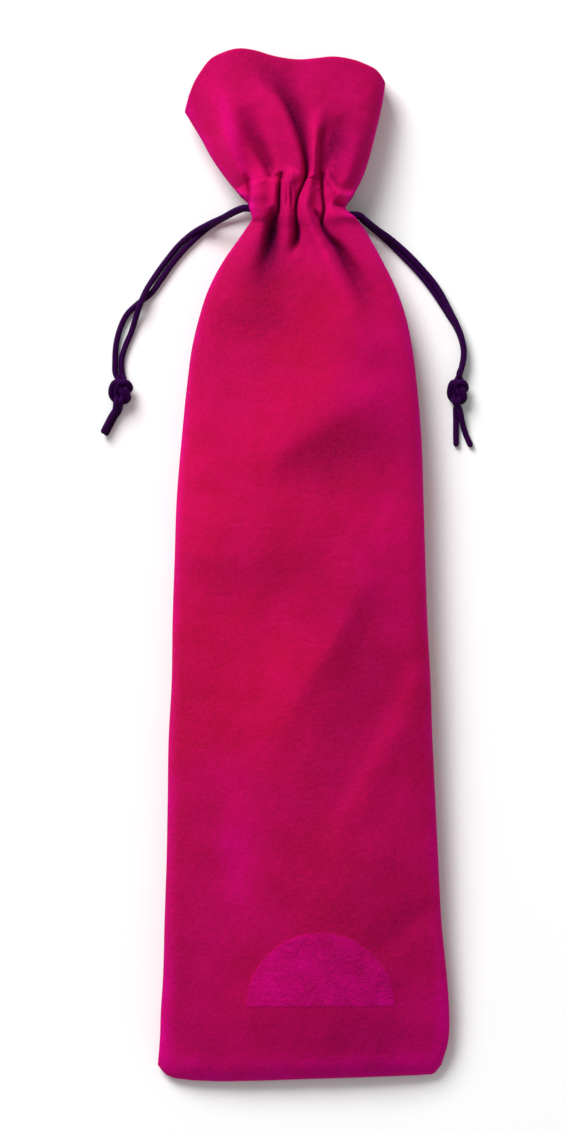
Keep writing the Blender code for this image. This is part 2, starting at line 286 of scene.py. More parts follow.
# Each end's way over the table in millimetres, from the channel to the knot. The tails go on
# from the knot. The knot's own points are those of one of its two cords, about its middle.
strand_routes = {
    ("left", "front"): (
        (-29.5, 157.1, 15.5), (-36, 153.9, 10.8), (-43, 150.9, 5.4), (-49.5, 147.3, 2.2),
        (-55.2, 142.4, 1.3), (-61, 135.4, 1.3), (-66.6, 127.6, 2), (-70.4, 121.2, 4),
        (-72.8, 115.6, 4.2), (-74.8, 109.6, 2.4), (-76.9, 103, 1.4), (-79.3, 97.4, 1.3),
        (-81, 91.6, 1.3), (-80.8, 84.6, 1.3),
    ),
    ("left", "back"): (
        (-29, 157.2, 4), (-35, 154.3, 2.6), (-41.2, 150.8, 1.6), (-47.2, 146, 1.3),
        (-52.8, 140.6, 1.3), (-58.6, 133.7, 1.3), (-63.8, 126.3, 1.3), (-68.2, 120.4, 1.3),
        (-73.6, 116.2, 1.3), (-78.7, 111.2, 1.3), (-81.8, 104.8, 1.3), (-83.6, 97.4, 1.3),
        (-84, 91, 1.3), (-83.7, 84.6, 1.3),
    ),
    ("right", "front"): (
        (27.6, 152.4, 13.4), (32.4, 148.8, 9), (37.7, 145.3, 5.2), (43, 141, 3.2),
        (48.1, 136.2, 2.8), (53.1, 130.8, 2.7), (58, 124.9, 2.7), (62.1, 118.3, 3.3),
        (65.3, 111.8, 4.1), (68.1, 106.2, 4.3), (70.1, 100.6, 4.3), (71.1, 94.6, 4.3),
        (70.4, 88.6, 4.3), (68.9, 83.9, 4.3),
    ),
    ("right", "back"): (
        (27.4, 151.9, 3.6), (32, 148.2, 2.2), (36.7, 144.1, 1.4), (41.4, 139.5, 1.3),
        (46.3, 134.6, 1.3), (51.3, 129.2, 1.3), (56, 123.4, 1.3), (60.3, 117.2, 1.3),
        (64.4, 110.8, 1.3), (67.6, 105.8, 1.3), (69.8, 100.6, 1.3), (71, 94.6, 1.3),
        (70.2, 88.2, 1.3), (68.9, 83.7, 1.3),
    ),
}
tail_routes = {
    ("left", "front"): ((-82.3, 68.4, 1.5), (-84.1, 65.6, 1.4), (-86.3, 61.6, 1.3), (-88.4, 57.4, 1.3)),
    ("left", "back"): ((-84, 68.6, 4.1), (-85.5, 66.2, 4), (-87.6, 62.2, 3.9), (-89.6, 58.2, 3.8)),
    ("right", "front"): ((67.6, 69.8, 1.4), (67.6, 64, 1.3), (67.6, 57.6, 1.3), (67.7, 52.4, 1.3)),
    ("right", "back"): ((68.9, 69.6, 4), (70.2, 64, 2.8), (71.9, 58, 1.3), (74.5, 52.2, 1.3)),
}
overhand_turns = (
    (0.6, 4.6, -1.4), (1.4, 0.8, 1.5), (2.4, -3, 0.2), (0.2, -4.4, -1.8), (-2.9, -2.4, -1.2),
    (-3.3, 1.4, 0.7), (-1.6, 4, 2.1), (1.8, 3.9, 1.8), (3.4, 1.4, -0.5), (1, -0.6, -2),
    (-0.9, -3.9, 1.3),
)
knot_width = {"left": 0.92, "right": 0.72}
pair_offset = np.array((1.1, 0.0, 0.3))  # half the way from one cord of the knot to the other

for side, outward in (("left", -1), ("right", 1)):
    body = f"{side}_drawstring"
    low, high = (np.array(corner) * 1000 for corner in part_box(f"{side}_cord_in_channel"))
    radius = 1000 * cord_diameter / 2
    exit_x, far_x = (low[0], high[0]) if side == "left" else (high[0], low[0])
    exit_y, loop_height = (low[1] + high[1]) / 2, (low[2] + high[2]) / 2
    rise = (high[2] - low[2]) / 2 - radius
    knot_low, knot_high = (np.array(corner) * 1000 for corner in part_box(f"{side}_cord_knot"))
    turns = (knot_low + knot_high) / 2 + np.array(overhand_turns) * (knot_width[side], 1, 1)

    strands, tails, doubled = [], [], []
    for place, above in (("front", 1), ("back", -1)):
        exit_height = loop_height + above * rise
        lead = (exit_x + outward * lead_out, exit_y, exit_height)
        strand = [(exit_x, exit_y, exit_height), lead, *strand_routes[side, place]]
        route = [*strand, *(turns + above * pair_offset), *tail_routes[side, place]]
        line, marks = smooth_line(route, cord_step)
        line[:, 2] = np.maximum(line[:, 2], radius)
        line /= 1000
        into, out = marks[len(strand) - 1], marks[len(strand) + len(turns)]
        doubled.append(line[into - 2 : out + 3])
        strands.append((place, line[: into + 1]))
        tails.append(add_cord(f"{side}_cord_{place}_tail", [line[out:]], body, True))
    knot = add_cord(f"{side}_cord_knot", doubled, body)
    for (place, line), tail in zip(strands, tails):
        strand = add_cord(f"{side}_cord_{place}_strand", [line], body)

    turn_x = far_x + outward * (radius + rise)
    loop = [(exit_x, exit_y, loop_height + rise)]
    for k in range(bend_steps + 1):
        bend = math.pi * k / bend_steps
        x, z = turn_x - outward * rise * math.sin(bend), loop_height + rise * math.cos(bend)
        loop.append((x, exit_y, z))
    loop.append((exit_x, exit_y, loop_height - rise))
    add_cord(f"{side}_cord_in_channel", [smooth_line(loop, loop_step)[0] / 1000], body)

# ------------------------------------------------------------
# The bag: a front and a back panel of crimson velvet, sewn to each other down both sides and
# along the bottom. Each panel is one cut of cloth, whose top is turned in over the rim and hangs
# inside as a facing. The stuffing is out, so it lies flat and full, with its neck gathered.
# All sizes in this section are in millimetres until a mesh is made.

# Place along the side seams, left seam, right seam
outline = np.array((
    (-222, -65, 61.2), (-211.6, -64.1, 64.1), (-198.3, -63.6, 64.5), (-184.9, -62.7, 63.6),
    (-158.2, -61.9, 61), (-131.5, -61, 59.6), (-104.8, -60.5, 58.3), (-78.1, -60.1, 57),
    (-51.4, -58.7, 56.1), (-24.7, -58.3, 54.7), (2, -57.4, 53.8), (28.7, -56.5, 53),
    (55.4, -54.3, 52.1), (82.1, -51.6, 49.8), (95.5, -49.8, 48.1), (108.8, -46.7, 45.4),
    (122.2, -42.3, 40.9), (135.5, -35.2, 34.3), (144.4, -28.9, 29.4), (148.9, -25.8, 26.7),
    (153.3, -23.1, 23.1), (157.8, -24.3, 18.4), (160, -24.6, 19.2), (162.2, -26.7, 20.9),
    (166.7, -31.2, 23.6), (171.1, -34.7, 25.8), (180, -40.9, 28.9), (188.9, -45.8, 31.2),
    (197.8, -51.2, 33.4), (202.9, -54.2, 34.5), (215.3, -54.4, 36.4),
))
# Place along the bag, underside, side seams, top
heights = np.array((
    (-229.4, 0, 2.4, 9.6), (-219.5, 0, 4.6, 12.2), (-206, 0, 6.4, 15.8),
    (-171, 0, 8.8, 21), (-118, 0, 10.2, 25), (-50, 0, 11.2, 27.6),
    (20, 0, 11.6, 28.6), (70, 0, 11.4, 27.8), (100, 0, 11, 26.2),
    (122, 0.1, 10.6, 24.6), (138, 0.7, 10.4, 24), (150, 1.2, 10.3, 23.6),
    (167, 1.2, 10.3, 23.8), (180, 0.5, 10.4, 24.4), (197, 0, 10.6, 25),
    (216.5, 0, 10.8, 23),
))
# Share across the bag from -1 at the left seam to 1 at the right one, and place along it
rim_shape = np.array((
    (-1, 200.5), (-0.93, 210.2), (-0.845, 216.5), (-0.76, 221.7), (-0.645, 224.7),
    (-0.457, 227), (-0.313, 226.3), (-0.11, 223.7), (0.148, 222.1), (0.32, 222.7),
    (0.466, 223.4), (0.61, 222.8), (0.797, 220.3), (0.956, 215.9), (1, 212.9),
))
bottom_shape = np.array((
    (-1, -222.5), (-0.955, -226), (-0.9, -227.9), (-0.8, -229), (-0.6, -229.7),
    (-0.35, -229.6), (0, -228.9), (0.4, -228.1), (0.75, -227.2), (0.88, -226.8),
    (0.95, -226), (1, -222.2),
))
bottom, mouth = -229.4, 216.5  # where the sheet's straight rows start and stop
bottom_depth = 9.0  # how far in from the bottom seam the cloth takes to rise to its full height
lower_stitch, upper_stitch = 149.2, 168.0
cord_window = (150.5, 154.0, 163.0, 167.0)  # the seams are left open here for the cords
window_under, window_top = 2.6, 17.9  # how low and high the panels' edges stand there
stitch_pull, stitch_reach = 0.2, 1.6  # how far a row of stitches draws the cloth in, and how near
roundness = 2.6  # exponent of the superellipse that the section follows
seam_gap = 0.3
cloth = 1.0  # velvet, without its pile
fold_over = 2.3  # from the pile of the panel to the pile of its facing
over_cords = 18.9  # the pleats' creases go no lower than this where the cords pass under them
crease_room = 9.0  # how much lower they may go elsewhere
slack, softness = 0.4, 0.5  # of that limit
cap_height = 1.7
facing_hem = 147.0  # the facings end here
facing_narrow = (176, 169)  # where they start to step in for the cords, and have done so
neck_left, neck_right, neck_middle, passage_half = -11.7, 7.0, 10.3, 2.8  # the facings there
columns = 160
row_steps = ((-200, 2.2), (100, 3.0), (140, 1.25), (182, 0.7), (mouth, 1.0))  # up to, how far apart
flat_width = 130.0  # the cut of a panel, across the bag

# The pleats end above the channel in rounded caps: place across, and place along of the cap
pleat_caps = np.array((
    (-32, 164), (-26, 167.5), (-20, 170), (-15, 171), (-12, 169.6), (-10.2, 172.8),
    (-9, 173), (-8, 171.2), (-6.5, 174.6), (-4, 174.4), (-1.5, 172), (0, 169),
    (1.6, 172.8), (4, 171.5), (7, 168), (8.5, 166.2), (9.5, 173.4), (12, 171.5),
    (15, 168), (18, 164.5), (24, 160),
))

# A fold is a line down the cloth. Each point: place across, place along, width on the line's
# right-hand side (west, on a line that runs down the bag), width on its left where that is
# another one, and height.
front_folds = (
    # Ruffle above the neck
    ((-46, 216, 9, 12, 2), (-40, 204, 6, 10, 3), (-35.5, 193.5, 4.5, 8, 4), (-32.5, 181.7, 3, 6, 4.5),
     (-28.9, 173.9, 2.5, 4, 3.5), (-25.7, 168.7, 2, 3, 2)),
    ((-26, 203, 5, 0), (-24.5, 197, 4.5, -2), (-22.4, 189.5, 4, -4), (-17.8, 180.4, 3, -5),
     (-15.2, 174.5, 2, -5), (-14.8, 171.5, 1.5, -3)),
    ((-19, 226, 9, 14, -1), (-12, 214, 6, 9, -2.5), (-8, 206, 2.2, 6, -4.5), (-4.8, 198, 1.2, 5, -6.5),
     (-2, 190, 0.9, 3.2, -7.5), (0.3, 181, 0.8, 1.8, -8), (1.1, 174, 0.7, 1.2, -7),
     (1, 171, 0.6, 1, -5)),
    ((-14, 206, 7, 4, 1), (-8, 195, 6, 2.5, 2.5), (-3.6, 184, 5, 2, 3), (-1.5, 176, 3, 1.5, 2.5),
     (-1.2, 172, 2, 1.2, 1.5)),
    ((6, 198, 3, 4, 0.5), (5, 190, 2.2, 2.5, 2), (4.3, 182, 1.8, 2, 3.5), (4.4, 176, 1.6, 1.8, 3.5),
     (4.4, 172, 1.5, 2.5)),
    ((13, 200, 4, 9, 0), (10.5, 193, 3, 9, -1.6), (8.4, 187, 1.6, 8, -2.6), (7.8, 181, 1, 6, -3),
     (7.6, 177, 0.9, 4, -3), (7.2, 172, 0.8, 2.5, -2.4)),
    ((28, 200, 8, 0.5), (26, 190, 7, 2), (23.5, 180, 5, 2.5), (18.7, 169, 3, 2)),
    # Pleats drawn up on the cords, and the creases between them
    ((-19.5, 170, 3, 1.5), (-20, 163, 4, 2.5), (-19, 156, 4, 2), (-19.5, 148, 5, 4, 2),
     (-22, 136, 6, 5, 1.5), (-26, 118, 8, 0.5)),
    ((-26, 173, 1, 0), (-24.6, 169, 1, -2.4), (-24, 164, 1, -2.6), (-23.6, 159, 1, -1)),
    ((-10.3, 172.4, 0.7, -1.5), (-10.7, 168, 0.7, -3.5), (-11.1, 162, 0.7, -4.5), (-11.3, 156, 0.7, -4),
     (-12.2, 152.5, 1, -2)),
    ((-9.6, 173.5, 0.8, 0), (-9.7, 171.8, 0.9, -3.5), (-9.9, 169.5, 0.8, -1)),
    ((-13, 172, 1.5, 1.5), (-13, 165, 1.6, 1.4, 2), (-13.4, 158, 1.6, 1.4, 1.5)),
    ((-5.8, 174.5, 2, 0.5), (-5.8, 171, 2.2, 2.5), (-6.5, 165, 2.5, 2.2, 2.5), (-7, 158, 2.5, 2),
     (-7.4, 150, 2.2, 2), (-7.6, 143, 2.5, 1), (-8, 138, 2.5, 0)),
    ((-8, 168.5, 0.6, 0), (-7.6, 163, 0.6, -1.8), (-7.4, 156, 0.6, 0)),
    ((-6, 169, 0.6, 0), (-5.7, 163, 0.6, -2.2), (-5.4, 155, 0.6, 0)),
    ((0.8, 171, 0.6, -4), (-0.8, 167, 0.6, -4), (-2.6, 163, 0.6, -4.2), (-3.5, 158, 0.7, 0.6, -4.5),
     (-3.4, 153, 0.9, 0.7, -5), (-2.6, 148, 1.6, 0.9, -5.5), (-2.8, 143.5, 1.9, 1, -4.5),
     (-4.5, 138.6, 2, 1.5, -1)),
    ((-13.5, 156.5, 1.5, -2), (-13.2, 152, 2.5, 2, -5), (-13.6, 147, 3, 2.5, -6),
     (-14.8, 140, 3.5, 3, -5), (-17, 130, 5, -2.5), (-20, 120, 8, -1), (-22, 110, 8, 0)),
    ((2.8, 174, 1.5, 1), (2.9, 170, 1.8, 2.5), (2, 164, 2.4, 3), (0.8, 158, 2.6, 2.4, 3.2),
     (2.2, 152, 2.8, 2.6, 3.6), (4.2, 147, 3, 2.8, 4), (7, 142, 3.5, 2.8, 4.2), (11, 134, 4.5, 3, 4.2),
     (15.5, 125, 6, 4, 3.6), (21, 113, 8, 5, 2.6), (28, 98, 10, 7, 1.5), (33, 86, 12, 8, 0)),
    ((8.2, 172.5, 0.6, -2), (8, 168, 0.6, -3.5), (8.2, 163.5, 0.6, -4.2), (8.8, 156.5, 0.6, -4.5),
     (7.9, 151, 0.8, -5), (11, 144, 1, 1.4, -6), (15, 139.5, 1.5, 2.2, -6), (20, 131, 2.2, 3.5, -5),
     (26, 120, 3.5, 5, -3.2), (31, 110, 5, 7, -1.5), (36, 98, 8, 0)),
    ((4.6, 156.5, 0.6, -0.5), (5.6, 154.8, 1, -2.5), (7.2, 152, 0.9, -2.5), (8.3, 150, 0.8, -1)),
    ((10.5, 174, 1.5, 0.5), (11.5, 170, 1.6, 1.8, 2), (13.6, 166, 1.8, 3), (16, 162.5, 1.8, 3),
     (18.5, 160, 1.5, 1.5)),
    ((19.5, 158.6, 1, -2), (16.8, 158.8, 1.2, -3.5), (14.6, 159.4, 1.2, -2.5), (13, 160.5, 1, 0)),
    ((12, 158, 1.5, 2, 1), (13, 154.5, 2.2, 3, 2), (16, 150, 3, 4, 2), (22, 142, 4, 5, 1.5),
     (30, 130, 6, 0.8), (36, 118, 6, 0)),
    # Long soft folds in the body
    ((32.8, 87.2, 25, 8, 0), (23.1, 73.2, 25, 8, 1.6), (13.4, 67.8, 25, 8, 1.9),
     (-1.7, 58.1, 25, 8, 1.8), (-14.6, 43, 22, 8, 1.4), (-18, 34, 20, 8, 0)),
    ((44, 76, 10, 12, 0), (33, 60, 10, 12, -0.8), (12, 50, 10, 12, -1), (-4, 38, 10, 12, -0.7),
     (-9, 28, 10, 12, 0)),
    ((-57, 4, 9, 20, 0), (-35, 6, 9, 20, 1), (-12, 8, 9, 20, 1.2), (12, 6, 9, 20, 0)),
    ((34, 2, 22, 6, 0), (22, -17, 22, 6, 1.1), (11.5, -37, 22, 6, 1.2), (0.5, -52.7, 22, 6, 1.1),
     (-10.5, -72.6, 20, 8, 0.7), (-17.5, -86.7, 20, 8, 0)),
    ((42, -8, 8, 14, 0), (30, -27, 8, 14, -0.6), (22, -46, 8, 14, -0.7), (10, -66, 8, 14, -0.5),
     (0, -84, 8, 14, 0)),
    ((47, -61, 8, 0), (37, -78, 8, 1.2), (28.6, -95, 8, 1.2), (20, -115, 8, 0)),
    ((60, -146, 8, 5, 0), (50, -156, 8, 5, -1.2), (38, -166, 8, 5, -1), (25, -172, 8, 5, 0)),
    ((-22, 118, 15, 0), (-22, 105, 15, -1.5), (-22, 92, 15, 0)),
)


def fold_lift(x, y, folds):
    """How far the folds lift the cloth at places on it, or sink it."""
    lift = np.zeros_like(x)
    for fold in folds:
        points = [(*point[:3], *point[-2:]) for point in fold]  # both widths for every point
        line, _ = smooth_line(points, 1.0, measured=2)
        reach = 2.6 * line[:, 2:4].max()
        low, high = line[:, :2].min(0) - reach, line[:, :2].max(0) + reach
        near = (x > low[0]) & (x < high[0]) & (y > low[1]) & (y < high[1])
        at_x, at_y = x[near], y[near]
        nearest = np.full(at_x.shape, np.inf)
        value = np.zeros(at_x.shape)
        for start, end in zip(line, line[1:]):
            (dx, dy), (from_x, from_y) = end[:2] - start[:2], (at_x - start[0], at_y - start[1])
            share = np.clip((from_x * dx + from_y * dy) / (dx * dx + dy * dy), 0, 1)
            off_x, off_y = from_x - share * dx, from_y - share * dy
            distance = off_x**2 + off_y**2
            right, left, height = (start[k] + share * (end[k] - start[k]) for k in (2, 3, 4))
            width = np.where(dx * off_y - dy * off_x < 0, right, left)
            value = np.where(distance < nearest, height * np.exp(-distance / width**2), value)
            nearest = np.minimum(nearest, distance)
        lift[near] += value
    return lift


def unevenness(x, y, size, seed):
    """Soft random ups and downs, mostly between -1 and 1, about size across."""
    chance = np.random.default_rng(seed)
    total = np.zeros_like(x)
    for _ in range(16):
        heading, phase = chance.uniform(0, math.pi), chance.uniform(0, 2 * math.pi)
        pace = 2 * math.pi / size * chance.uniform(0.6, 1.5)
        total += np.sin((x * math.cos(heading) + y * math.sin(heading)) * pace + phase)
    return total / 4


def ramp(start, full, at):
    """0 at start, 1 at full, and smooth between."""
    t = np.clip((at - start) / (full - start), 0, 1)
    return t * t * (3 - 2 * t)


def panel_section(y, face):
    """Places on a panel at one straight row: x, place along the bag and height, edge to edge."""
    across = np.sin(math.pi / 2 * np.linspace(-1, 1, 481))
    rise = (1 - np.abs(across) ** roundness) ** (1 / roundness)
    up = max(0.0, (y - upper_stitch) / (mouth - upper_stitch)) ** 2
    down = max(0.0, (-200 - y) / (-200 - bottom)) ** 2
    carried = (read_smooth(rim_shape[:, 0], rim_shape[:, 1:], across)[:, 0] - mouth) * up
    carried += (read_smooth(bottom_shape[:, 0], bottom_shape[:, 1:], across)[:, 0] - bottom) * down
    left, right = read_smooth(outline[:, 0], outline[:, 1:], y + carried[[0, -1]])[(0, 1), (0, 1)]
    under, seam, top = read_smooth(heights[:, 0], heights[:, 1:], np.array([y]))[0]
    inside = 1 - min(1.0, (y - bottom) / bottom_depth)
    full = math.sqrt(1 - inside**2)
    start, open_full, open_end, end = cord_window
    opened = ramp(start, open_full, y) * (1 - ramp(open_end, end, y))
    x, along = (left + right) / 2 + (right - left) / 2 * across, y + carried
    level = np.clip(1.3 * rise, 0, 1)
    channel = ramp(150, 154.5, y) * (1 - ramp(162, 166.5, y))
    if face > 0:
        edge = seam + seam_gap / 2 + (window_top - seam) * opened
        z = edge + (max(top, edge + 2) - edge) * full * rise
        cap_edge = read_smooth(pleat_caps[:, 0], pleat_caps[:, 1:], x)[:, 0]
        capped = ramp(cap_edge + 0.6, cap_edge - 1.6, along) * ramp(145, 156, y)
        rows = (lower_stitch, upper_stitch)
        sewn = sum(math.exp(-(((y - row) / stitch_reach) ** 2)) for row in rows)
        wrinkles = 0.16 * unevenness(x, along, 23, 3) + 0.06 * unevenness(x, along, 7, 5)
        lift = fold_lift(x, along, front_folds) + cap_height * capped - stitch_pull * sewn + wrinkles
        lowest = np.minimum(z, over_cords + slack) - slack - crease_room * (1 - channel)
        z = lowest + softness * np.logaddexp(0, (z + level * full * lift - lowest) / softness)
    else:
        edge = seam - seam_gap / 2 - (seam - window_under) * opened
        z = edge - (edge - under) * full * np.minimum(1, 1.15 * rise)
        gathered = ramp(100, 150, y) * (1 - ramp(168, 214, y))
        pleats = 0.5 - 0.5 * np.cos(2 * math.pi * (5.5 * across + 0.35 * np.sin(7 * across) + 0.2))
        z += level * gathered * (3.2 - 2.7 * channel) * pleats**1.6
        z += level * 0.3 * (1 + unevenness(x, along, 24, 8))
    return np.stack([x, along, z], axis=1)


def facing_line(y, face):
    """Places on a panel's facing at one row, behind the cloth and narrower than it."""
    outer = panel_section(y, face)
    x = np.interp(np.linspace(0, 1, 241), np.linspace(0, 1, len(outer)), outer[:, 0])
    middle, half = (x[0] + x[-1]) / 2, (x[-1] - x[0]) / 2
    x = middle + (x - middle) * (half - fold_over) / half
    behind = []
    for off in fold_over * np.linspace(-1, 1, 15):
        z = np.interp(x + off, outer[:, 0], outer[:, 2]) * face
        behind.append(z - math.sqrt(max(0, fold_over**2 - off**2)))
    z = np.min(behind, axis=0) * face
    y_along = np.interp(x, outer[:, 0], outer[:, 1])
    neck = ramp(*facing_narrow, y)
    across = (x - middle) / (half - fold_over)
    rise = (1 - np.clip(np.abs(across), 0, 1) ** roundness) ** (1 / roundness)
    neck_x = (neck_left + neck_right) / 2 + (neck_right - neck_left) / 2 * across
    neck_z = neck_middle + face * (seam_gap / 2 + passage_half * rise)
    return np.stack([x + (neck_x - x) * neck, y_along, z + (neck_z - z) * neck], axis=1)


def evenly(line, count):
    """The same line read at count + 1 places, evenly along its length."""
    steps = np.linalg.norm(np.diff(line[:, (0, 2)], axis=0), axis=1)
    places = np.concatenate([[0], np.cumsum(steps)])
    at = np.linspace(0, places[-1], count + 1)
    return np.stack([np.interp(at, places, line[:, k]) for k in range(3)], axis=1)


def stretch(start, stop, step):
    """Even rows from start up to but not including stop."""
    count = round(abs(stop - start) / step)
    return [start + (stop - start) * k / count for k in range(count)]


def cloth_value(x, y, spots, reach):
    """A value that passes smoothly between spots on the cloth: (across, along, value)."""
    weights = [np.exp(-((x - a) ** 2 + (y - b) ** 2) / (2 * reach**2)) for a, b, _ in spots]
    return sum(w * spot[2] for w, spot in zip(weights, spots)) / (sum(weights) + 1e-9)


def velvet_panel(name, face, finish):
    """One panel with its facing, as a single sheet folded over at the rim."""
    rise_rows = [bottom + bottom_depth * (1 - math.cos(math.pi / 2 * k / 10)) for k in range(10)]
    places, start = rise_rows, bottom + bottom_depth
    for stop, step in row_steps:
        places += stretch(start, stop, step)
        start = stop
    rows = [evenly(panel_section(y, face), columns) for y in [*places, mouth]]
    narrow = facing_narrow[0]
    turned_in = [mouth, *stretch(mouth - 1.2, narrow, 1.9), *stretch(narrow, facing_hem, 2.4)]
    turned_in.append(facing_hem)
    facing = [evenly(facing_line(y, face), columns) for y in turned_in]
    over, under = rows[-1], facing[0]
    for k in range(1, 6):
        bend = math.pi * k / 6
        row = over + (under - over) * (1 - math.cos(bend)) / 2
        rows.append(row + (0, fold_over / 2 * math.sin(bend), 0))
    rows += facing
    points = np.array(rows)
    count = len(rows)
    middle = points[:, columns // 2]
    length = np.concatenate([[0], np.cumsum(np.linalg.norm(np.diff(middle, axis=0), axis=1))])
    faces, corners = [], []
    for row in range(count - 1):
        for k in range(columns):
            a, b = row * (columns + 1) + k, (row + 1) * (columns + 1) + k
            near, far = length[row] / 1000, length[row + 1] / 1000
            left, right = (flat_width / 1000 * c / columns for c in (k, k + 1))
            face_corners = [(left, near), (right, near), (right, far), (left, far)]
            face_points = [a, a + 1, b + 1, b]
            faces.append(face_points if face > 0 else face_points[::-1])
            corners += face_corners if face > 0 else face_corners[::-1]
    flat_points = points.reshape(-1, 3)
    panel = mesh_piece(name, flat_points / 1000, faces, finish, corners)
    x, y = flat_points[:, 0], flat_points[:, 1]
    nap_and_painted_shading, magenta_sheen_and_tone = cloth_value(x, y, nap_and_painted_shading_spots, nap_and_painted_shading_reach), cloth_value(x, y, magenta_sheen_and_tone_spots, tint_reach)
    if face > 0:
        # Painted shade in the creases: the deeper the folds sink the cloth, the darker its pile, down to
        # 6 mm; then the strokes of painted shade and highlight
        hollow = np.minimum(0, fold_lift(x, y, front_folds))
        nap_and_painted_shading += fold_lift(x, y, painted_shading_strokes) + 0.07 * np.maximum(hollow, -6)
        # Painted magenta sheen from the strokes
        magenta_sheen_and_tone += fold_lift(x, y, painted_sheen_strokes)
    for attribute, value in (("nap_and_painted_shading", nap_and_painted_shading), ("magenta_sheen_and_tone", magenta_sheen_and_tone)):
        layer = panel.data.attributes.new(attribute, "FLOAT", "POINT")
        layer.data.foreach_set("value", value.astype(np.float32))
    wall = panel.modifiers.new("cloth", "SOLIDIFY")
    wall.thickness = cloth / 1000
    wall.offset = -1
    return panel


nap_and_painted_shading_reach, tint_reach = 20.0, 17.0  # how far the spots below work
# How bright the pile is at places on the cloth: partly the way it was last brushed, and partly painted
# light and shade, darker towards the bottom and lighter at the right-hand edge
nap_and_painted_shading_spots = (
    (-45, 215, 0.78), (-5, 215, 0.70), (30, 212, 0.92), (-20, 188, 1.34), (5, 198, 0.78),
    (18, 187, 0.36), (16, 222, 0.92), (38, 195, 1.2), (-15, 150, 0.72), (6, 150, 1.0), (25, 160, 1.4),
    (-35, 100, 0.74), (-10, 125, 0.66), (8, 105, 0.84), (32, 105, 0.86), (34, 80, 0.64), (54, 88, 1.35),
    (-45, 50, 0.90), (4, 66, 1.06), (30, 45, 0.62), (54, 30, 1.26), (-45, 0, 0.84), (0, 0, 0.70),
    (28, -8, 0.84), (56, -20, 0.96), (-45, -50, 0.76), (0, -52, 1.02), (32, -50, 0.60), (54, -66, 1.08),
    (34, -74, 0.32), (-45, -100, 0.78), (-20, -88, 0.94), (14, -110, 0.64), (33, -98, 0.85),
    (56, -110, 0.82), (-66, -60, 0.60), (-68, -100, 0.54), (-68, -140, 0.50), (-68, -180, 0.50),
    (-34, -155, 0.86), (-5, -155, 0.70), (34, -152, 0.62), (58, -150, 0.82), (34, -184, 0.50),
    (-50, -208, 0.78), (-12, -205, 0.78), (24, -212, 0.72), (48, -203, 0.54), (66, -208, 1.3),
)
